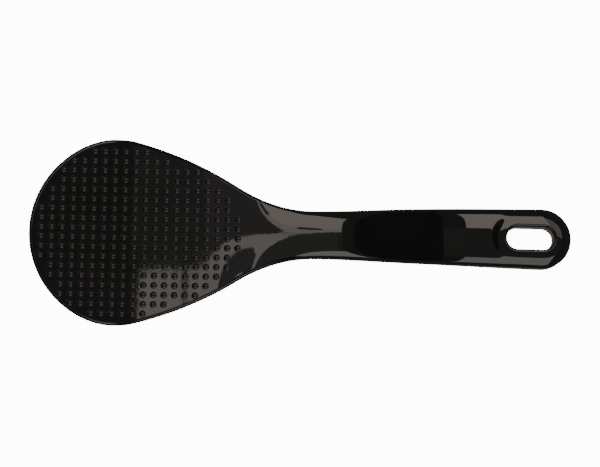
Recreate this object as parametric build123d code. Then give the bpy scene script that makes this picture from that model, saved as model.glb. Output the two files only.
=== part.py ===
from build123d import *
import math
import os

# Rice paddle, one moulding in one piece.
# X runs along the paddle from the tip of the blade to the end of the handle, Y across it and Z up.
# The origin is on the table under the middle of the paddle. Lengths are in millimetres.
# A station is a place along the paddle, measured from the tip of the blade.

# Outline, seen from above
LENGTH = 195.0
BLADE_WIDTH = 67.5
BLADE_STATION = 30.7
TIP_SIDE_SHARE = 0.59
TIP_ALONG_SHARE = 0.453
SHOULDER_RUN = 7.5
SHOULDER_INSET = 0.72
SHOULDER_SLOPE = -0.261
FLANK_RUN = 37.1
FLANK_WIDTH = 34.16
FLANK_SLOPE = -0.626
NECK_RUN = 27.5
NECK_WIDTH = 17.24
GRIP_RUN = 31.7
GRIP_WIDTH = 19.34
GRIP_SLOPE = 0.033
END_WIDTH = 21.42
END_SLOPE = 0.021

# Top surface along the middle: a shallow dish in the blade rises into an arch along the handle
FLOOR_THICKNESS = 2.0
DISH_STATION = 35.5
DISH_RADIUS = 535.0
RISE_STATION = 48.1
RISE_LENGTH = 72.5
CREST_SHARE = 0.54
CREST_HEIGHT = 11.3
ARCH_RADIUS = 402.0
END_HEIGHT = 9.05

# Top surface across: the blade is hollow, the foot of the handle bows round it, the handle is crowned
HOLLOW_RADIUS = 640.0
BOW_STATION = 60.0
BOW_LENGTH = 20.0
BOW_RADIUS = 120.0
FADE_STATION = 84.0
FADE_LENGTH = 20.0
CROWN_STATION = 74.0
CROWN_LENGTH = 44.0
CROWN_DROP = 2.0
CROWN_POWER = 4

# Underside: flat below the blade and at the end of the handle, arched in between
BACK_STATION = 64.0
BACK_HEIGHT = 5.0
BACK_TOP_SHARE = 0.62
FOOT_LENGTH = 9.0

# Rounded edges
TOP_EDGE_RADIUS = 1.2
BOTTOM_EDGE_RADIUS = 1.0

# Channel under the handle, with ribs across it
WALL = 2.2
CHANNEL_STATION = 86.0
CHANNEL_END_WEB = 3.0
RIB_COUNT = 5
RIB_THICKNESS = 1.5
RIB_SETBACK = 1.0

# Hanging slot, with a low raised rim
SLOT_LENGTH = 17.0
SLOT_WIDTH = 8.05
SLOT_END_MARGIN = 6.4
RIM_WIDTH = 2.8
RIM_HEIGHT = 0.25
SLOT_EDGE_RADIUS = 1.0

# Raised dots on the blade
DOT_DIAMETER = 2.35
DOT_HEIGHT = 0.5
DOT_ROOT_DEPTH = 0.3
DOT_PITCH_ALONG = 3.735
DOT_PITCH_ACROSS = 3.45
DOT_FIRST_STATION = 4.45
DOT_COLUMNS = 20
DOT_EDGE_MARGIN = 2.35
DOT_FIELD_STATION = 52.95
DOT_FIELD_RADIUS = 24.0

# How finely the surfaces are worked out, how far a cut runs past what it cuts,
# and how close two places must be to count as one
STATION_STEP = 3.0
ACROSS_COUNT = 17
OUTLINE_STEP = 0.5
OVERRUN = 2.0
TOLERANCE = 0.002

# Sizes that follow from the ones above
BLADE_HALF = BLADE_WIDTH / 2
SHOULDER_STATION = BLADE_STATION + SHOULDER_RUN
FLANK_STATION = SHOULDER_STATION + FLANK_RUN
NECK_STATION = FLANK_STATION + NECK_RUN
GRIP_STATION = NECK_STATION + GRIP_RUN
END_TURN = math.atan(END_SLOPE)
END_RADIUS = END_WIDTH / 2
END_STATION = LENGTH - END_RADIUS
END_TANGENT = END_STATION - END_RADIUS * math.sin(END_TURN)
END_HALF = END_RADIUS * math.cos(END_TURN)
CREST_STATION = NECK_STATION + (LENGTH - NECK_STATION) * CREST_SHARE
FALL_RADIUS = (LENGTH - CREST_STATION) ** 2 / (2 * (CREST_HEIGHT - END_HEIGHT))
FOOT_STATION = LENGTH - FOOT_LENGTH
BACK_TOP_STATION = BACK_STATION + (FOOT_STATION - BACK_STATION) * BACK_TOP_SHARE
SLOT_RADIUS = SLOT_WIDTH / 2
SLOT_STATION = LENGTH - SLOT_END_MARGIN - SLOT_LENGTH / 2
TALL = CREST_HEIGHT + RIM_HEIGHT + OVERRUN

# One side of the outline and the back's arch, as (station, distance, slope) places
SIDE = [
    (BLADE_STATION, BLADE_HALF, 0),
    (SHOULDER_STATION, BLADE_HALF - SHOULDER_INSET, SHOULDER_SLOPE),
    (FLANK_STATION, FLANK_WIDTH / 2, FLANK_SLOPE),
    (NECK_STATION, NECK_WIDTH / 2, 0),
    (GRIP_STATION, GRIP_WIDTH / 2, GRIP_SLOPE),
    (END_TANGENT, END_HALF, END_SLOPE),
]
BACK = [
    (BACK_STATION, 0, 0),
    (BACK_TOP_STATION, BACK_HEIGHT, 0),
    (FOOT_STATION, 0, 0),
]


def controls(start, end):
    """The four control places of the cubic between two (station, distance, slope) places."""
    (station_0, distance_0, slope_0), (station_1, distance_1, slope_1) = start, end
    third = (station_1 - station_0) / 3
    return [
        (station_0, distance_0),
        (station_0 + third, distance_0 + slope_0 * third),
        (station_1 - third, distance_1 - slope_1 * third),
        (station_1, distance_1),
    ]


def on_cubics(station, places):
    """The distance at a station on the cubics through the places, or None off their ends."""
    for start, end in zip(places, places[1:]):
        if start[0] <= station <= end[0]:
            share = (station - start[0]) / (end[0] - start[0])
            rest = 1 - share
            weights = (rest**3, 3 * rest**2 * share, 3 * rest * share**2, share**3)
            return sum(weight * control[1] for weight, control in zip(weights, controls(start, end)))
    return None


def half_width(station):
    """Half the width of the paddle, held at its widest in the tip and at the end's in the round end."""
    side = on_cubics(station, SIDE)
    if side is None:
        side = BLADE_HALF if station < BLADE_STATION else END_RADIUS
    return side


def back_height(station):
    """Height of the underside above the table."""
    return on_cubics(station, BACK) or 0


def grown(station, start, length):
    """A share that grows smoothly from 0 at the start to 1 a length further on."""
    share = min(max((station - start) / length, 0), 1)
    return share**3 * (10 - 15 * share + 6 * share**2)


def spine_height(station):
    """Height of the top surface along the middle."""
    dish = FLOOR_THICKNESS + (station - DISH_STATION) ** 2 / (2 * DISH_RADIUS)
    bend = ARCH_RADIUS if station < CREST_STATION else FALL_RADIUS
    arch = CREST_HEIGHT - (station - CREST_STATION) ** 2 / (2 * bend)
    rise = grown(station, RISE_STATION, RISE_LENGTH)
    return dish * (1 - rise) + arch * rise


def top_height(station, side):
    """Height of the top surface above the table."""
    hollow = 1 - grown(station, FADE_STATION, FADE_LENGTH)
    bow = hollow * grown(station, BOW_STATION, BOW_LENGTH)
    crown = grown(station, CROWN_STATION, CROWN_LENGTH)
    out_share = math.hypot(max(station - END_STATION, 0), side) / half_width(station)
    height = spine_height(station + bow * side**2 / (2 * BOW_RADIUS))
    return height + hollow * side**2 / (2 * HOLLOW_RADIUS) - crown * CROWN_DROP * out_share**CROWN_POWER


def place(station, side, height=0):
    """A point, from a station, a distance to the side and a height."""
    return Vector(station - LENGTH / 2, side, height)


def half_outline():
    """Edges of one side of the outline, from the tip to the end of the handle."""
    tip = Bezier(
        place(0, 0),
        place(0, BLADE_HALF * TIP_SIDE_SHARE),
        place(BLADE_STATION * (1 - TIP_ALONG_SHARE), BLADE_HALF),
        place(BLADE_STATION, BLADE_HALF),
    )
    sides = []
    for start, end in zip(SIDE, SIDE[1:]):
        sides.append(Bezier([place(*point) for point in controls(start, end)]))
    turn = (math.pi / 2 - END_TURN) / 2
    middle = place(END_STATION + END_RADIUS * math.sin(turn), END_RADIUS * math.cos(turn))
    cap = ThreePointArc(place(END_TANGENT, END_HALF), middle, place(LENGTH, 0))
    return [tip, *sides, cap]


def below_top(lift):
    """Everything below the top surface, when that is raised by lift."""
    first, last = -OVERRUN, LENGTH + OVERRUN
    count = math.ceil((last - first) / STATION_STEP)
    rows = []
    for row in range(count + 1):
        station = first + (last - first) * row / count
        reach = half_width(station) + OVERRUN
        sides = [reach * (2 * column / (ACROSS_COUNT - 1) - 1) for column in range(ACROSS_COUNT)]
        rows.append([place(station, side, top_height(station, side) + lift) for side in sides])
    skin = Face.make_surface_from_array_of_points(rows, tol=TOLERANCE, min_deg=3, max_deg=5)
    return extrude(skin, amount=2 * TALL, dir=(0, 0, -1))


def under_back():
    """The space below the arched back of the handle, on one side."""
    arch = []
    for start, end in zip(BACK, BACK[1:]):
        points = [place(station, -OVERRUN, height) for station, height in controls(start, end)]
        arch.append(Bezier(points))
    corners = [(FOOT_STATION, 0), (FOOT_STATION, -OVERRUN), (BACK_STATION, -OVERRUN), (BACK_STATION, 0)]
    floor = Polyline([place(station, -OVERRUN, height) for station, height in corners])
    return extrude(make_face([*arch, *floor.edges()]), amount=BLADE_WIDTH, dir=(0, 1, 0))


def body():
    """Half of the paddle without slot, channel and dots, with its rim rounded above and below."""
    face = make_face([*half_outline(), Line(place(LENGTH, 0), place(0, 0))])
    solid = extrude(face, amount=TALL, dir=(0, 0, 1)) & below_top(0)
    top = solid.faces().filter_by(GeomType.BSPLINE).sort_by(SortBy.AREA)[-1]
    solid = fillet([edge for edge in top.edges() if (edge @ (1 / 2)).Y > TOLERANCE], TOP_EDGE_RADIUS)
    solid -= under_back()

    def along_back(edge):
        points = [edge @ share for share in (0, 1 / 2, 1)]
        gaps = [abs(point.Z - back_height(point.X + LENGTH / 2)) for point in points]
        crosses = edge.geom_type == GeomType.LINE and min(point.Y for point in points) < TOLERANCE
        return max(gaps) < TOLERANCE and not crosses

    back = [edge for edge in solid.edges() if along_back(edge) and (edge @ (1 / 2)).Y > TOLERANCE]
    return fillet(back, BOTTOM_EDGE_RADIUS)


def obround(grow):
    """Half of the slot's outline as a face, grown by a distance all round."""
    shape = SlotOverall(SLOT_LENGTH + 2 * grow, SLOT_WIDTH + 2 * grow)
    side = Rectangle(LENGTH, BLADE_WIDTH, align=(Align.CENTER, Align.MIN))
    return Pos(place(SLOT_STATION, 0)) * (shape & side)


def with_slot(solid):
    """Adds the raised rim to the half and cuts the slot, with its edges rounded."""
    solid += extrude(Pos(0, 0, BACK_HEIGHT) * obround(RIM_WIDTH), amount=TALL) & below_top(RIM_HEIGHT)
    solid -= extrude(Pos(0, 0, -OVERRUN) * obround(0), amount=TALL + 2 * OVERRUN)
    left = place(SLOT_STATION, 0).X - SLOT_LENGTH / 2 - TOLERANCE
    right = left + SLOT_LENGTH + 2 * TOLERANCE
    edges = []
    for edge in solid.edges():
        box = edge.bounding_box()
        inside = box.min.X > left and box.max.X < right and box.max.Y < SLOT_RADIUS + TOLERANCE
        upright = box.size.Z > max(box.size.X, box.size.Y)
        if inside and not upright and box.max.Y > TOLERANCE:
            edges.append(edge)
    return fillet(edges, SLOT_EDGE_RADIUS)


def channel():
    """The pockets under the handle, between its walls and its ribs."""
    end = SLOT_STATION - SLOT_LENGTH / 2 - CHANNEL_END_WEB
    count = math.ceil((end - CHANNEL_STATION) / STATION_STEP)
    stations = [CHANNEL_STATION + (end - CHANNEL_STATION) * step / count for step in range(count + 1)]
    wall = Spline([place(station, half_width(station) - WALL) for station in stations])
    corners = [wall @ 1, place(end, -OVERRUN), place(CHANNEL_STATION, -OVERRUN), wall @ 0]
    section = make_face([wall, *Polyline(corners).edges()])
    prism = extrude(Pos(0, 0, -OVERRUN) * section, amount=TALL + OVERRUN, dir=(0, 0, 1))
    pockets = prism & below_top(-WALL)
    pitch = (end - CHANNEL_STATION) / (RIB_COUNT + 1)
    for rib in range(RIB_COUNT):
        station = CHANNEL_STATION + pitch * (rib + 1)
        box = Box(RIB_THICKNESS, BLADE_WIDTH, TALL, align=(Align.CENTER, Align.CENTER, Align.MIN))
        pockets -= Pos(place(station, 0, back_height(station) + RIB_SETBACK)) * box
    return pockets


def dot_places():
    """Places of one half's dots: a lattice cut off near the outline and by an arc towards the neck."""
    border = []
    for edge in half_outline():
        count = math.ceil(edge.length / OUTLINE_STEP)
        border += [edge @ (step / count) for step in range(count)]
    places = []
    for column in range(DOT_COLUMNS):
        station = DOT_FIRST_STATION + column * DOT_PITCH_ALONG
        reach = min(border, key=lambda point: abs(point.X - place(station, 0).X)).Y
        past_field = max(station - DOT_FIELD_STATION, 0)
        for row in range(math.ceil(BLADE_HALF / DOT_PITCH_ACROSS)):
            side = (row + 1 / 2) * DOT_PITCH_ACROSS
            margin = min((place(station, side) - point).length for point in border)
            in_field = past_field == 0 or math.hypot(past_field, side) < DOT_FIELD_RADIUS
            if side < reach and margin >= DOT_EDGE_MARGIN and in_field:
                places.append((station, side))
    return places


def dots():
    """One half's dots, each a low dome with a short root inside the blade."""
    radius = (DOT_DIAMETER**2 / 4 + DOT_HEIGHT**2) / (2 * DOT_HEIGHT)
    cut = math.degrees(math.asin((radius - DOT_HEIGHT - DOT_ROOT_DEPTH) / radius))
    dome = Solid.make_sphere(radius, angle1=cut, angle2=90)
    domes = []
    for station, side in dot_places():
        centre_height = top_height(station, side) + DOT_HEIGHT - radius
        domes.append(Pos(place(station, side, centre_height)) * dome)
    return domes


def in_middle(face):
    """Whether a face is where the half was cut from the whole."""
    return face.geom_type == GeomType.PLANE and face.bounding_box().max.Y < TOLERANCE


def paddle():
    """The whole moulding: one half with its dots, closed by its mirror image."""
    half = with_slot(body()) - channel()
    half = half.solids()[0].fuse(*dots()).solids()[0]
    skins = [face for face in half.faces() if not in_middle(face)]
    return Solid(Shell([*skins, *[face.mirror(Plane.XZ) for face in skins]]))


os.makedirs("parts", exist_ok=True)
export_step(paddle(), "parts/paddle.step")
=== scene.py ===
import math

import bpy
import numpy as np
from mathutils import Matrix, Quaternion, Vector
from mathutils.geometry import delaunay_2d_cdt
from mathutils.kdtree import KDTree


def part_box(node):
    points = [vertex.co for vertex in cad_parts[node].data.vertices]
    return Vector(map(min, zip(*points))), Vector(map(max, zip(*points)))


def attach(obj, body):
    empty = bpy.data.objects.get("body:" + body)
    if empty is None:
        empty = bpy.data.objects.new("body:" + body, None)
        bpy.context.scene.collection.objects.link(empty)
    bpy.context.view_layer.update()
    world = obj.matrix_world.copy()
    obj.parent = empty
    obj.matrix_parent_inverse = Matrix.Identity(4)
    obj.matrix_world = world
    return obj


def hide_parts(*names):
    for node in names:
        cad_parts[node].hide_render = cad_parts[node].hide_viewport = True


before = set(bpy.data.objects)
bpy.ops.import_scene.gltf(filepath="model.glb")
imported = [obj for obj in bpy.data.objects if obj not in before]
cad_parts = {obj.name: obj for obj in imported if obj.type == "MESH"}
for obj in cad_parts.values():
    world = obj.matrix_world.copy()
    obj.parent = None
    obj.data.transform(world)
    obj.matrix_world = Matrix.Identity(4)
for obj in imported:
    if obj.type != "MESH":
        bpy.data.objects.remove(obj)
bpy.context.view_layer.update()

# Rice paddle, one moulding in glossy black plastic, on a white table under lit panels.
# Sizes are in millimetres and are turned into metres where an object is made.
# A station is a place along the paddle, measured from the tip of the blade. A side is a place across it.

MM = 0.001
low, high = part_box("paddle")

# Outline, seen from above
LENGTH = (high.x - low.x) / MM
BLADE_HALF = (high.y - low.y) / MM / 2
BLADE_STATION = 30.7
TIP_SIDE_SHARE = 0.59
TIP_ALONG_SHARE = 0.453
SHOULDER_STATION = 38.2
SHOULDER_INSET = 0.72
SHOULDER_SLOPE = -0.261
FLANK_STATION = 75.3
FLANK_HALF = 17.08
FLANK_SLOPE = -0.626
NECK_STATION = 102.8
NECK_HALF = 8.62
GRIP_STATION = 134.5
GRIP_HALF = 9.67
GRIP_SLOPE = 0.033
END_RADIUS = 10.71
END_SLOPE = 0.021

# Top surface along the middle
FLOOR_THICKNESS = 2.0
DISH_STATION = 35.5
DISH_RADIUS = 535.0
RISE_STATION = 48.1
RISE_LENGTH = 72.5
CREST_SHARE = 0.54
CREST_HEIGHT = (high.z - low.z) / MM
ARCH_RADIUS = 402.0
END_HEIGHT = 9.05

# Top surface across
HOLLOW_RADIUS = 640.0
BOW_STATION = 60.0
BOW_LENGTH = 20.0
BOW_RADIUS = 120.0
FADE_STATION = 84.0
FADE_LENGTH = 20.0
CROWN_STATION = 74.0
CROWN_LENGTH = 44.0
CROWN_DROP = 2.0
CROWN_POWER = 4

# Underside, with the channel and its ribs
BACK_STATION = 64.0
BACK_HEIGHT = 5.0
BACK_TOP_SHARE = 0.62
FOOT_LENGTH = 9.0
WALL = 2.2
CHANNEL_STATION = 86.0
CHANNEL_END_WEB = 3.0
RIB_COUNT = 5
RIB_THICKNESS = 1.5
RIB_SETBACK = 1.0

# Rounded edges
TOP_EDGE_RADIUS = 1.2
BOTTOM_EDGE_RADIUS = 1.0
SLOT_EDGE_RADIUS = 1.0

# Hanging slot, and the low lip that swells round it
SLOT_LENGTH = 17.0
SLOT_RADIUS = 4.025
SLOT_END_MARGIN = 6.4
LIP_HEIGHT = 0.25
LIP_INNER = 2.2
LIP_OUTER = 6.2

# Raised dots on the blade
DOT_RADIUS = 1.175
DOT_HEIGHT = 0.5
DOT_FOOT = 0.06
DOT_PITCH_ALONG = 3.735
DOT_PITCH_ACROSS = 3.45
DOT_FIRST_STATION = 4.45
DOT_COLUMNS = 20
DOT_EDGE_MARGIN = 2.35
DOT_FIELD_STATION = 52.95
DOT_FIELD_RADIUS = 24.0

# How finely the mesh is cut
OUTLINE_STEP = 0.5
ROUNDING_STEPS = 7
INNER_OFFSETS = (0.35, 0.8)
POINT_STEP = 0.8
POINT_GAP = 0.35
DOT_SIDES = 22
DOT_RING_SHARES = (1.07, 1.035, 1.0, 0.965, 0.93, 0.82, 0.66, 0.46, 0.24)
WALL_STEPS = 3
SLOPE_STEP = 0.01
SAME_PLACE = 0.0005
SAME_PLACE_DIGITS = 3
CURVE_SAMPLES = 400
FLANK_SAMPLES = 3000
SLOT_TURN_POINTS = 31
SLOT_STRAIGHT_POINTS = 19
CHANNEL_ACROSS_POINTS = 15
SHARP_ANGLE = 40.0

# Plastic: its two blacks, its least and greatest roughness, and the scale and detail of each variation
DEEP_BLACK = (0.0016, 0.0016, 0.0017)
SOFT_BLACK = (0.0024, 0.0022, 0.0021)
PLASTIC_IOR = 1.5
GLOSS_ROUGHNESS = (0.014, 0.022)
DOT_ROUGHNESS = (0.035, 0.06)
NOISE_RANGE = (0.3, 0.7)
TINT_NOISE = (60, 3)
POLISH_NOISE = (140, 4)
WAVE_NOISE = (900, 2)
WAVE_STRENGTH = 0.05
WAVE_HEIGHT = 0.01

# Table
TABLE_SIZE = 12000.0
TABLE_WHITE = 0.9
TABLE_ROUGHNESS = 0.9
TABLE_GLOW = 12.0

# Lights: each panel's name, corners, colour and strength. A rectangle gives two opposite corners.
WARM = (1.0, 0.85, 0.77)
HALF_WARM = (1.0, 0.92, 0.84)
NEUTRAL = (1.0, 0.98, 0.92)
CARD_HEIGHT = 800.0
CARDS = [
    ("left_softbox", [(-330, 110), (-137.5, 110), (-137.5, 500), (-240, 860), (-330, 900)], WARM, 2.9),
    ("left_softbox_edge", [(-330, 91), (-137.5, 110)], HALF_WARM, 2.35),
    ("right_softbox", [(145, 125), (420, 900)], WARM, 2.9),
    ("right_wing", [(420, 125), (950, 125), (950, 500), (420, 720)], WARM, 1.5),
    ("left_low", [(-420, -1600), (-136, -400)], NEUTRAL, 2.6),
    ("right_low", [(145, -1600), (800, -400)], NEUTRAL, 2.2),
    ("left_fill", [(-420, -380), (-150, 90)], NEUTRAL, 0.37),
    ("left_edge", [(-150, -380), (-134, 90)], NEUTRAL, 0.26),
    ("right_fill", [(96, -380), (900, 124)], NEUTRAL, 0.23),
    ("dark_card", [(-100, -1600), (95, 1600)], NEUTRAL, 0.055),
]
FLAG_CORNERS = [(-280, 100), (-205, 100), (-205, 110), (-240, 117), (-270, 117), (-280, 110)]
FLAG_STRENGTH = 0.4
FLAG_DROP = 5.0
OVERHEAD_SIZE = 2400.0
OVERHEAD_HEIGHT = 1500.0
OVERHEAD_POWER = 60.0
ROOM_LIGHT = 0.155

# Camera: where it is, what it looks at, its lens, and its turn about its own line of sight in degrees
EYE = (0.0, -75.0, 700.0)
AIM = (0.3, 1.05, 0.0)
FOCAL_LENGTH = 116.8
ROLL = 1.352

# Sizes that follow from the ones above
END_TURN = math.atan(END_SLOPE)
END_STATION = LENGTH - END_RADIUS
CREST_STATION = NECK_STATION + (LENGTH - NECK_STATION) * CREST_SHARE
FALL_RADIUS = (LENGTH - CREST_STATION) ** 2 / (2 * (CREST_HEIGHT - END_HEIGHT))
FOOT_STATION = LENGTH - FOOT_LENGTH
BACK_TOP_STATION = BACK_STATION + (FOOT_STATION - BACK_STATION) * BACK_TOP_SHARE
SLOT_STATION = LENGTH - SLOT_END_MARGIN - SLOT_LENGTH / 2
SLOT_STRAIGHT = SLOT_LENGTH / 2 - SLOT_RADIUS
CHANNEL_END = SLOT_STATION - SLOT_LENGTH / 2 - CHANNEL_END_WEB
SIDE = [
    (BLADE_STATION, BLADE_HALF, 0),
    (SHOULDER_STATION, BLADE_HALF - SHOULDER_INSET, SHOULDER_SLOPE),
    (FLANK_STATION, FLANK_HALF, FLANK_SLOPE),
    (NECK_STATION, NECK_HALF, 0),
    (GRIP_STATION, GRIP_HALF, GRIP_SLOPE),
    (END_STATION - END_RADIUS * math.sin(END_TURN), END_RADIUS * math.cos(END_TURN), END_SLOPE),
]
BACK = [(BACK_STATION, 0, 0), (BACK_TOP_STATION, BACK_HEIGHT, 0), (FOOT_STATION, 0, 0)]


# Heights and distances, each for whole arrays of stations and sides

def on_cubics(station, places, before, after):
    """The distance at each station on the cubics through (station, distance, slope) places."""
    out = np.where(station < places[0][0], before, after) + 0.0 * station
    for (start, distance_0, slope_0), (end, distance_1, slope_1) in zip(places, places[1:]):
        run = end - start
        share = np.clip((station - start) / run, 0, 1)
        rest = 1 - share
        control_1 = distance_0 + slope_0 * run / 3
        control_2 = distance_1 - slope_1 * run / 3
        value = rest**3 * distance_0 + 3 * rest**2 * share * control_1
        value = value + 3 * rest * share**2 * control_2 + share**3 * distance_1
        out = np.where((station >= start) & (station <= end), value, out)
    return out


def half_width(station):
    """Half the width, held at its widest in the tip and at the end's in the round end."""
    return on_cubics(station, SIDE, BLADE_HALF, END_RADIUS)


def grown(station, start, length):
    """A share that grows smoothly from 0 at the start to 1 a length further on."""
    share = np.clip((station - start) / length, 0, 1)
    return share**3 * (10 - 15 * share + 6 * share**2)


def spine_height(station):
    """Height of the top surface along the middle."""
    dish = FLOOR_THICKNESS + (station - DISH_STATION) ** 2 / (2 * DISH_RADIUS)
    bend = np.where(station < CREST_STATION, ARCH_RADIUS, FALL_RADIUS)
    arch = CREST_HEIGHT - (station - CREST_STATION) ** 2 / (2 * bend)
    rise = grown(station, RISE_STATION, RISE_LENGTH)
    return dish * (1 - rise) + arch * rise


def skin_height(station, side):
    """Height of the top surface without lip, dots and rounded edges."""
    hollow = 1 - grown(station, FADE_STATION, FADE_LENGTH)
    bow = hollow * grown(station, BOW_STATION, BOW_LENGTH)
    crown = grown(station, CROWN_STATION, CROWN_LENGTH)
    out_share = np.hypot(np.maximum(station - END_STATION, 0), side) / half_width(station)
    height = spine_height(station + bow * side**2 / (2 * BOW_RADIUS))
    return height + hollow * side**2 / (2 * HOLLOW_RADIUS) - crown * CROWN_DROP * out_share**CROWN_POWER


def back_height(station):
    """Height of the underside."""
    return on_cubics(station, BACK, 0, 0)


def slot_distance(station, side):
    """Distance from the edge of the slot, below zero inside it."""
    return np.hypot(np.maximum(np.abs(station - SLOT_STATION) - SLOT_STRAIGHT, 0), side) - SLOT_RADIUS


def rounding(distance, radius):
    """How far a rounded edge lies below its surface, a distance in from the edge."""
    inside = np.clip(radius - distance, 0, radius)
    return radius - np.sqrt(np.maximum(radius**2 - inside**2, 0))


def bezier(points, shares):
    """Points along a cubic, from its four control points."""
    a, b, c, d = (np.array(point, float) for point in points)
    t = np.array(shares)[:, None]
    return (1 - t) ** 3 * a + 3 * (1 - t) ** 2 * t * b + 3 * (1 - t) * t**2 * c + t**3 * d


def half_outline():
    """Evenly spaced points of one side of the outline, from the tip to the end of the handle."""
    shares = np.linspace(0, 1, CURVE_SAMPLES)
    tip = bezier(
        [
            (0, 0),
            (0, BLADE_HALF * TIP_SIDE_SHARE),
            (BLADE_STATION * (1 - TIP_ALONG_SHARE), BLADE_HALF),
            (BLADE_STATION, BLADE_HALF),
        ],
        shares,
    )
    stations = np.linspace(BLADE_STATION, SIDE[-1][0], FLANK_SAMPLES)
    flank = np.stack([stations, half_width(stations)], 1)
    turns = np.linspace(END_TURN, math.pi / 2, CURVE_SAMPLES)
    cap = np.stack([END_STATION + END_RADIUS * np.sin(turns), END_RADIUS * np.cos(turns)], 1)
    dense = np.concatenate([tip[:-1], flank[:-1], cap])
    run = np.concatenate([[0], np.cumsum(np.linalg.norm(np.diff(dense, axis=0), axis=1))])
    places = np.linspace(0, run[-1], math.ceil(run[-1] / OUTLINE_STEP) + 1)
    return np.stack([np.interp(places, run, dense[:, axis]) for axis in (0, 1)], 1)


def closed_outline():
    """The whole outline, clockwise from the tip along the far side and back."""
    half = half_outline()
    half[0, 1] = 0
    half[-1, 1] = 0
    other = half[1:-1][::-1] * (1, -1)
    return np.concatenate([half, other])


def inward(loop):
    """Unit normals that point into a closed loop of points that runs clockwise."""
    along = np.roll(loop, -1, axis=0) - np.roll(loop, 1, axis=0)
    along /= np.linalg.norm(along, axis=1, keepdims=True)
    return np.stack([along[:, 1], -along[:, 0]], 1)


def plan_tree(points):
    """A search tree over points of the plan."""
    tree = KDTree(len(points))
    for number, point in enumerate(points):
        tree.insert((point[0], point[1], 0), number)
    tree.balance()
    return tree


OUTLINE = closed_outline()
INWARD = inward(OUTLINE)
EDGE_TREE = plan_tree(OUTLINE)


def edge_distance(station, side):
    """Distance in from the outline, below zero outside it."""
    out = np.empty(len(station))
    for index, place in enumerate(zip(station, side)):
        near, number, _ = EDGE_TREE.find((place[0], place[1], 0))
        offset = (place[0] - near.x, place[1] - near.y)
        out[index] = offset[0] * INWARD[number, 0] + offset[1] * INWARD[number, 1]
    return out


def dot_centres():
    """Centres of the dots: a lattice cut off near the outline and by an arc towards the neck."""
    rows = math.ceil(BLADE_HALF / DOT_PITCH_ACROSS)
    sides = [(row + 0.5) * DOT_PITCH_ACROSS for row in range(-rows, rows)]
    stations = [DOT_FIRST_STATION + column * DOT_PITCH_ALONG for column in range(DOT_COLUMNS)]
    places = np.array([(station, side) for station in stations for side in sides])
    past_field = np.maximum(places[:, 0] - DOT_FIELD_STATION, 0)
    in_field = (past_field == 0) | (np.hypot(past_field, places[:, 1]) < DOT_FIELD_RADIUS)
    return places[(edge_distance(*places.T) >= DOT_EDGE_MARGIN) & in_field]


DOTS = dot_centres()
DOT_TREE = plan_tree(DOTS)


def dot_height(station, side):
    """Height of the nearest dot's dome above the blade, with a soft foot."""
    sphere = (DOT_RADIUS**2 + DOT_HEIGHT**2) / (2 * DOT_HEIGHT)
    gap = np.full(len(station), sphere)
    for index, place in enumerate(zip(station, side)):
        if place[0] < DOT_FIELD_STATION + DOT_FIELD_RADIUS + sphere:
            gap[index] = min(DOT_TREE.find((place[0], place[1], 0))[2], sphere)
    cap = np.sqrt(sphere**2 - gap**2) - sphere + DOT_HEIGHT
    soft = np.clip(cap + DOT_FOOT, 0, 2 * DOT_FOOT) ** 2 / (4 * DOT_FOOT)
    return np.where(cap > DOT_FOOT, cap, soft)


def top_height(station, side, edge):
    """Height of the finished top surface, where edge is the distance in from the outline."""
    rim = slot_distance(station, side)
    share = np.clip((LIP_OUTER - rim) / (LIP_OUTER - LIP_INNER), 0, 1)
    height = skin_height(station, side) + LIP_HEIGHT * share**2 * (3 - 2 * share)
    height = height + dot_height(station, side)
    return height - rounding(edge, TOP_EDGE_RADIUS) - rounding(rim, SLOT_EDGE_RADIUS)


def top_normals(station, side):
    """Unit normals of the finished top surface."""
    def at(shift_along, shift_across):
        moved = (station + shift_along, side + shift_across)
        return top_height(*moved, edge_distance(*moved))

    along = (at(SLOPE_STEP, 0) - at(-SLOPE_STEP, 0)) / (2 * SLOPE_STEP)
    across = (at(0, SLOPE_STEP) - at(0, -SLOPE_STEP)) / (2 * SLOPE_STEP)
    normals = np.stack([-along, -across, np.ones(len(station))], 1)
    return normals / np.linalg.norm(normals, axis=1, keepdims=True)


# Sheets of triangles in the plan, one for the top and one for the underside

class Plan:
    """Points and closed loops in the plan that a sheet of triangles keeps to."""

    def __init__(self):
        self.points = []
        self.edges = []

    def add_loop(self, loop):
        """Adds a closed loop whose edges stay in the sheet, and returns its point numbers."""
        first = len(self.points)
        numbers = list(range(first, first + len(loop)))
        self.points.extend(map(tuple, loop))
        self.edges.extend(zip(numbers, numbers[1:] + numbers[:1]))
        return numbers

    def add_path(self, path):
        """Adds an open line of points whose edges stay in the sheet."""
        first = len(self.points)
        self.points.extend(map(tuple, path))
        self.edges.extend((number, number + 1) for number in range(first, first + len(path) - 1))

    def fill(self, spacing, gap, keep):
        """Adds an even spread of points wherever keep allows and no point is within the gap."""
        tree = plan_tree(self.points)
        across = math.ceil(BLADE_HALF / spacing)
        spread = []
        for column in range(math.ceil(LENGTH / spacing)):
            for row in range(-across, across + 1):
                spread.append((column * spacing, (row + 0.5 * (column % 2)) * spacing))
        spread = np.array(spread)
        spread = spread[keep(spread[:, 0], spread[:, 1])]
        for place in spread:
            if tree.find((place[0], place[1], 0))[2] > gap:
                self.points.append(tuple(place))

    def triangles(self):
        """Points and triangles of the sheet."""
        places = [Vector(point) for point in self.points]
        out = delaunay_2d_cdt(places, self.edges, [], 0, SAME_PLACE)
        return np.array([tuple(place) for place in out[0]]), np.array([tuple(face) for face in out[2]])


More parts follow.
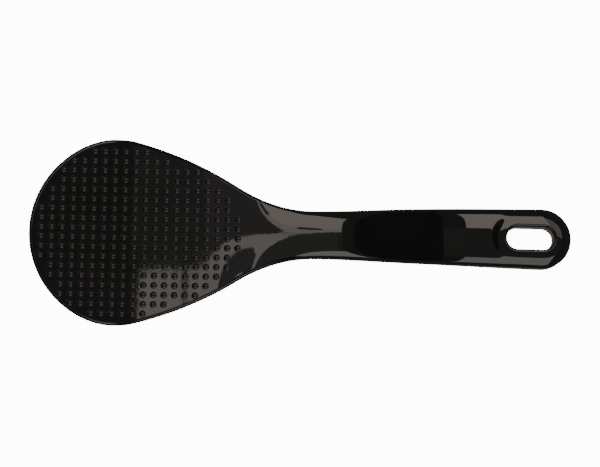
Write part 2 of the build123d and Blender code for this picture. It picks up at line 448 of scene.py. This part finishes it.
def slot_loop(grow):
    """The slot's outline grown by a distance, anticlockwise."""
    radius = SLOT_RADIUS + grow
    half_turn = np.linspace(-math.pi / 2, math.pi / 2, SLOT_TURN_POINTS)
    straight = np.linspace(SLOT_STRAIGHT, -SLOT_STRAIGHT, SLOT_STRAIGHT_POINTS)[1:-1]
    right = np.stack([SLOT_STRAIGHT + radius * np.cos(half_turn), radius * np.sin(half_turn)], 1)
    above = np.stack([straight, np.full(len(straight), radius)], 1)
    half = np.concatenate([right, above])
    return np.concatenate([half, -half]) + (SLOT_STATION, 0)


def rounding_offsets(radius):
    """Distances in from an edge at even turns of its rounding, without the edge itself."""
    turns = np.linspace(0, math.pi / 2, ROUNDING_STEPS + 1)[1:]
    return [radius * (1 - math.cos(turn)) for turn in turns]


def top_plan():
    """The plan of the top surface."""
    plan = Plan()
    plan.add_loop(OUTLINE)
    offsets = rounding_offsets(TOP_EDGE_RADIUS)
    for offset in [*offsets, *[TOP_EDGE_RADIUS + extra for extra in INNER_OFFSETS]]:
        plan.add_loop(OUTLINE + INWARD * offset)
    plan.add_loop(slot_loop(0))
    offsets = rounding_offsets(SLOT_EDGE_RADIUS)
    for offset in [*offsets, *[SLOT_EDGE_RADIUS + extra for extra in INNER_OFFSETS]]:
        plan.add_loop(slot_loop(offset))
    turns = np.arange(DOT_SIDES) * 2 * math.pi / DOT_SIDES
    circle = np.stack([np.cos(turns), np.sin(turns)], 1)
    for centre in DOTS:
        for share in DOT_RING_SHARES:
            plan.add_loop(centre + circle * DOT_RADIUS * share)
        plan.points.append(tuple(centre))
    reach = TOP_EDGE_RADIUS + max(INNER_OFFSETS)

    def keep(station, side):
        return (edge_distance(station, side) > reach) & (slot_distance(station, side) > 0)

    plan.fill(POINT_STEP, POINT_GAP, keep)
    return plan


def channel_half(station):
    """Half the width of the channel."""
    return half_width(station) - WALL


def rib_starts():
    """Stations where the ribs begin."""
    pitch = (CHANNEL_END - CHANNEL_STATION) / (RIB_COUNT + 1)
    return [CHANNEL_STATION + pitch * (rib + 1) - RIB_THICKNESS / 2 for rib in range(RIB_COUNT)]


def channel_stations():
    """Stations along the channel's walls, with the sides of the ribs among them."""
    marks = [CHANNEL_STATION]
    for start in rib_starts():
        marks += [start, start + RIB_THICKNESS]
    marks.append(CHANNEL_END)
    out = []
    for start, end in zip(marks, marks[1:]):
        count = math.ceil((end - start) / POINT_STEP)
        out += [start + (end - start) * step / count for step in range(count)]
    return np.array(out + [CHANNEL_END])


def back_plan():
    """The plan of the underside, with the channel's walls and the sides of its ribs."""
    plan = Plan()
    for offset in [0, *rounding_offsets(BOTTOM_EDGE_RADIUS)]:
        plan.add_loop(OUTLINE + INWARD * offset)
    for offset in [0, *rounding_offsets(SLOT_EDGE_RADIUS)]:
        plan.add_loop(slot_loop(offset))
    stations = channel_stations()
    far = np.stack([stations, channel_half(stations)], 1)
    across = np.linspace(1, -1, CHANNEL_ACROSS_POINTS)[1:-1]
    end = np.stack([np.full(len(across), CHANNEL_END), across * far[-1, 1]], 1)
    start = np.stack([np.full(len(across), CHANNEL_STATION), -across * far[0, 1]], 1)
    plan.add_loop(np.concatenate([far, end, far[::-1] * (1, -1), start]))
    for rib in rib_starts():
        for station in (rib, rib + RIB_THICKNESS):
            reach = float(channel_half(np.array([station]))[0])
            plan.add_path([(station, reach * share) for share in (1, *across, -1)])

    def keep(station, side):
        return (edge_distance(station, side) > BOTTOM_EDGE_RADIUS) & (slot_distance(station, side) > 0)

    plan.fill(POINT_STEP * 2, POINT_STEP, keep)
    return plan


# Faces of the underside, in the order of their height
BACK_FACE, RIB_FACE, ROOF = range(3)


def back_region(station, side):
    """Which face of the underside each place lies on."""
    region = np.full(len(station), BACK_FACE)
    inside = (station > CHANNEL_STATION) & (station < CHANNEL_END) & (np.abs(side) < channel_half(station))
    region[inside] = ROOF
    for start in rib_starts():
        region[inside & (station > start) & (station < start + RIB_THICKNESS)] = RIB_FACE
    return region


def back_face_height(region, station, side, edge):
    """Height of one face of the underside."""
    if region == ROOF:
        return skin_height(station, side) - WALL
    if region == RIB_FACE:
        return back_height(station) + RIB_SETBACK
    height = back_height(station) + rounding(edge, BOTTOM_EDGE_RADIUS)
    return height + rounding(slot_distance(station, side), SLOT_EDGE_RADIUS)


class Skin:
    """The vertices and faces of the paddle's mesh, shared by its sheets and walls."""

    def __init__(self):
        self.vertices = []
        self.faces = []
        self.top_normals = {}

    def add_vertices(self, places):
        """Adds vertices and returns the number of the first."""
        first = len(self.vertices)
        self.vertices.extend(map(tuple, places))
        return first


def inside_mask(places):
    """Which of the places lie inside the outline and outside the slot."""
    station, side = places.T
    return (edge_distance(station, side) > 0) & (slot_distance(station, side) > 0)


def add_top(skin):
    """Adds the top sheet and returns its border."""
    places, faces = top_plan().triangles()
    faces = faces[inside_mask(places[faces].mean(1))]
    station, side = places.T
    heights = top_height(station, side, edge_distance(station, side))
    first = skin.add_vertices(np.stack([station, side, heights], 1))
    normals = top_normals(station, side)
    for number, normal in enumerate(normals):
        skin.top_normals[first + number] = normal
    skin.faces.extend((faces + first).tolist())
    return border(faces, first)


def border(faces, first):
    """The border of a sheet, as a table from each vertex on it to the next."""
    directed = {(a, b) for face in faces for a, b in zip(face, np.roll(face, -1))}
    edges = [(a, b) for a, b in directed if (b, a) not in directed]
    return {first + a: first + b for a, b in edges}


def add_back(skin):
    """Adds the faces of the underside with the steps between them, and returns their border.

    The steps face into the plastic, and where a rib meets a side wall their upright edges aren't joined.
    """
    places, faces = back_plan().triangles()
    faces = faces[inside_mask(places[faces].mean(1))]
    region = back_region(*places[faces].mean(1).T)
    edge = edge_distance(*places.T)
    copies = {}

    def vertex(place, kind):
        if (place, kind) not in copies:
            station, side = places[place : place + 1].T
            height = back_face_height(kind, station, side, edge[place : place + 1])[0]
            copies[place, kind] = skin.add_vertices([(station[0], side[0], height)])
        return copies[place, kind]

    owner = {}
    for face, kind in zip(faces, region):
        corners = [int(corner) for corner in face]
        skin.faces.append([vertex(corner, kind) for corner in reversed(corners)])
        for a, b in zip(corners, corners[1:] + corners[:1]):
            owner[a, b] = kind
    edges = {}
    for (a, b), kind in owner.items():
        other = owner.get((b, a))
        if other is None:
            edges[vertex(b, kind)] = vertex(a, kind)
        elif other > kind:
            skin.faces.append([vertex(b, kind), vertex(a, kind), vertex(a, other), vertex(b, other)])
    return edges


def chains(edges):
    """Closed chains of vertices, from a table of each border vertex to the next."""
    left = dict(edges)
    out = []
    while left:
        start = next(iter(left))
        chain = [start]
        following = left.pop(start)
        while following != start:
            chain.append(following)
            following = left.pop(following)
        out.append(chain)
    return out


def add_walls(skin, top_edges, back_edges):
    """Joins the top's borders to the underside's with upright walls."""
    def key(vertex):
        return tuple(round(value, SAME_PLACE_DIGITS) for value in skin.vertices[vertex][:2])

    below = {key(vertex): vertex for vertex in back_edges}
    for chain in chains(top_edges):
        columns = []
        for upper in chain:
            lower = below[key(upper)]
            station, side, top = skin.vertices[upper]
            bottom = skin.vertices[lower][2]
            column = [upper]
            for step in range(1, WALL_STEPS):
                height = top + (bottom - top) * step / WALL_STEPS
                column.append(skin.add_vertices([(station, side, height)]))
            columns.append([*column, lower])
        for left, right in zip(columns, columns[1:] + columns[:1]):
            for row in range(WALL_STEPS):
                skin.faces.append([right[row], left[row], left[row + 1], right[row + 1]])


def paddle_mesh():
    """The whole paddle as one mesh in metres."""
    skin = Skin()
    top_edges = add_top(skin)
    back_edges = add_back(skin)
    add_walls(skin, top_edges, back_edges)
    places = (np.array(skin.vertices) - (LENGTH / 2, 0, 0)) * MM
    mesh = bpy.data.meshes.new("paddle_skin")
    mesh.from_pydata(places.tolist(), [], skin.faces)
    mesh.validate()
    mesh.shade_smooth()
    return mesh, skin


def smooth_top(mesh, skin):
    """Gives the top surface its exact normals, and keeps the steps of the underside sharp."""
    mesh.set_sharp_from_angle(angle=math.radians(SHARP_ANGLE))
    normals = []
    for polygon in mesh.polygons:
        on_top = all(vertex in skin.top_normals for vertex in polygon.vertices)
        for vertex in polygon.vertices:
            normals.append(tuple(skin.top_normals[vertex]) if on_top else (0, 0, 0))
    mesh.normals_split_custom_set(normals)


# The plastic, polished all over but for the dull dots

def noise(material, scale, detail):
    """A noise fixed to the piece, of so many waves a metre."""
    nodes = material.node_tree.nodes
    place = nodes.new("ShaderNodeTexCoord")
    node = nodes.new("ShaderNodeTexNoise")
    node.inputs["Scale"].default_value = scale
    node.inputs["Detail"].default_value = detail
    material.node_tree.links.new(place.outputs["Object"], node.inputs["Vector"])
    return node.outputs["Fac"]


def spread(material, source, lowest, highest):
    """A noise spread out between two values."""
    node = material.node_tree.nodes.new("ShaderNodeMapRange")
    node.inputs["From Min"].default_value = NOISE_RANGE[0]
    node.inputs["From Max"].default_value = NOISE_RANGE[1]
    node.inputs["To Min"].default_value = lowest
    node.inputs["To Max"].default_value = highest
    material.node_tree.links.new(source, node.inputs["Value"])
    return node.outputs["Result"]


def plastic(name, smoothest, roughest):
    """Black moulded plastic with a faint waviness and an uneven polish."""
    material = bpy.data.materials.new(name)
    material.use_nodes = True
    nodes = material.node_tree.nodes
    links = material.node_tree.links
    shader = nodes["Principled BSDF"]
    shader.inputs["IOR"].default_value = PLASTIC_IOR
    tint = nodes.new("ShaderNodeMix")
    tint.data_type = "RGBA"
    tint.inputs["A"].default_value = (*DEEP_BLACK, 1)
    tint.inputs["B"].default_value = (*SOFT_BLACK, 1)
    links.new(spread(material, noise(material, *TINT_NOISE), 0, 1), tint.inputs["Factor"])
    links.new(tint.outputs["Result"], shader.inputs["Base Color"])
    polish = spread(material, noise(material, *POLISH_NOISE), smoothest, roughest)
    links.new(polish, shader.inputs["Roughness"])
    bump = nodes.new("ShaderNodeBump")
    bump.inputs["Strength"].default_value = WAVE_STRENGTH
    bump.inputs["Distance"].default_value = WAVE_HEIGHT * MM
    links.new(noise(material, *WAVE_NOISE), bump.inputs["Height"])
    links.new(bump.outputs["Normal"], shader.inputs["Normal"])
    return material


def make_paddle():
    """The visible paddle, which stands for the solid one."""
    mesh, skin = paddle_mesh()
    smooth_top(mesh, skin)
    mesh.materials.append(plastic("black_plastic", *GLOSS_ROUGHNESS))
    mesh.materials.append(plastic("black_plastic_dots", *DOT_ROUGHNESS))
    centres = np.array([polygon.center for polygon in mesh.polygons]) / MM
    on_dot = dot_height(centres[:, 0] + LENGTH / 2, centres[:, 1]) > DOT_FOOT
    above = centres[:, 2] > FLOOR_THICKNESS / 2
    mesh.polygons.foreach_set("material_index", (on_dot & above).astype(int))
    paddle = bpy.data.objects.new("paddle_skin", mesh)
    bpy.context.scene.collection.objects.link(paddle)
    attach(paddle, "root")
    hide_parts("paddle")


# Table, lights and camera

def all_corners(corners):
    """Every corner of a panel, of which a rectangle gives two opposite ones."""
    if len(corners) > 2:
        return corners
    (left, near), (right, far) = corners
    return [(left, near), (right, near), (right, far), (left, far)]


def flat_panel(name, corners, height):
    """A flat panel at a height."""
    mesh = bpy.data.meshes.new(name)
    places = [(along * MM, across * MM, height * MM) for along, across in all_corners(corners)]
    mesh.from_pydata(places, [], [tuple(range(len(places)))])
    panel = bpy.data.objects.new(name, mesh)
    bpy.context.scene.collection.objects.link(panel)
    return panel


def make_table():
    """A plain white table that glows too brightly to show a shadow. The paddle doesn't mirror it."""
    half = TABLE_SIZE / 2
    table = flat_panel("table", [(-half, -half), (half, half)], 0)
    material = bpy.data.materials.new("white_table")
    material.use_nodes = True
    shader = material.node_tree.nodes["Principled BSDF"]
    shader.inputs["Base Color"].default_value = (TABLE_WHITE, TABLE_WHITE, TABLE_WHITE, 1)
    shader.inputs["Roughness"].default_value = TABLE_ROUGHNESS
    shader.inputs["Specular IOR Level"].default_value = 0
    shader.inputs["Emission Color"].default_value = (1, 1, 1, 1)
    shader.inputs["Emission Strength"].default_value = TABLE_GLOW
    table.data.materials.append(material)
    table.visible_glossy = False
    table.visible_diffuse = False


def make_card(name, corners, colour, strength, drop=0):
    """A lit or dark panel overhead that only shows as a reflection."""
    card = flat_panel(name, corners, CARD_HEIGHT - drop)
    material = bpy.data.materials.new(name)
    material.use_nodes = True
    nodes = material.node_tree.nodes
    nodes.clear()
    glow = nodes.new("ShaderNodeEmission")
    glow.inputs["Color"].default_value = (*colour, 1)
    glow.inputs["Strength"].default_value = strength
    output = nodes.new("ShaderNodeOutputMaterial")
    material.node_tree.links.new(glow.outputs["Emission"], output.inputs["Surface"])
    card.data.materials.append(material)
    card.visible_camera = False
    card.visible_diffuse = False
    card.visible_shadow = False


def make_lights():
    """Softboxes and a dark card above, an overhead light for the table and a dim room."""
    for card in CARDS:
        make_card(*card)
    make_card("flag", FLAG_CORNERS, NEUTRAL, FLAG_STRENGTH, FLAG_DROP)
    make_overhead()
    make_room()


def make_overhead():
    """A wide light over everything that shows in no reflection."""
    light = bpy.data.lights.new("overhead", "AREA")
    light.shape = "SQUARE"
    light.size = OVERHEAD_SIZE * MM
    light.energy = OVERHEAD_POWER
    lamp = bpy.data.objects.new("overhead", light)
    lamp.location = (0, 0, OVERHEAD_HEIGHT * MM)
    lamp.visible_camera = False
    lamp.visible_glossy = False
    bpy.context.scene.collection.objects.link(lamp)


def make_room():
    """The dim room all round."""
    world = bpy.data.worlds.new("room")
    world.use_nodes = True
    background = world.node_tree.nodes["Background"]
    background.inputs["Color"].default_value = (*NEUTRAL, 1)
    background.inputs["Strength"].default_value = ROOM_LIGHT
    bpy.context.scene.world = world


def make_camera():
    """The camera above the paddle, leaning a little towards its near side."""
    data = bpy.data.cameras.new("camera")
    data.lens = FOCAL_LENGTH
    camera = bpy.data.objects.new("camera", data)
    eye = Vector(EYE) * MM
    camera.location = eye
    turn = (Vector(AIM) * MM - eye).to_track_quat("-Z", "Y")
    camera.rotation_euler = (turn @ Quaternion((0, 0, 1), math.radians(ROLL))).to_euler()
    bpy.context.scene.collection.objects.link(camera)
    bpy.context.scene.camera = camera


make_paddle()
make_table()
make_lights()
make_camera()
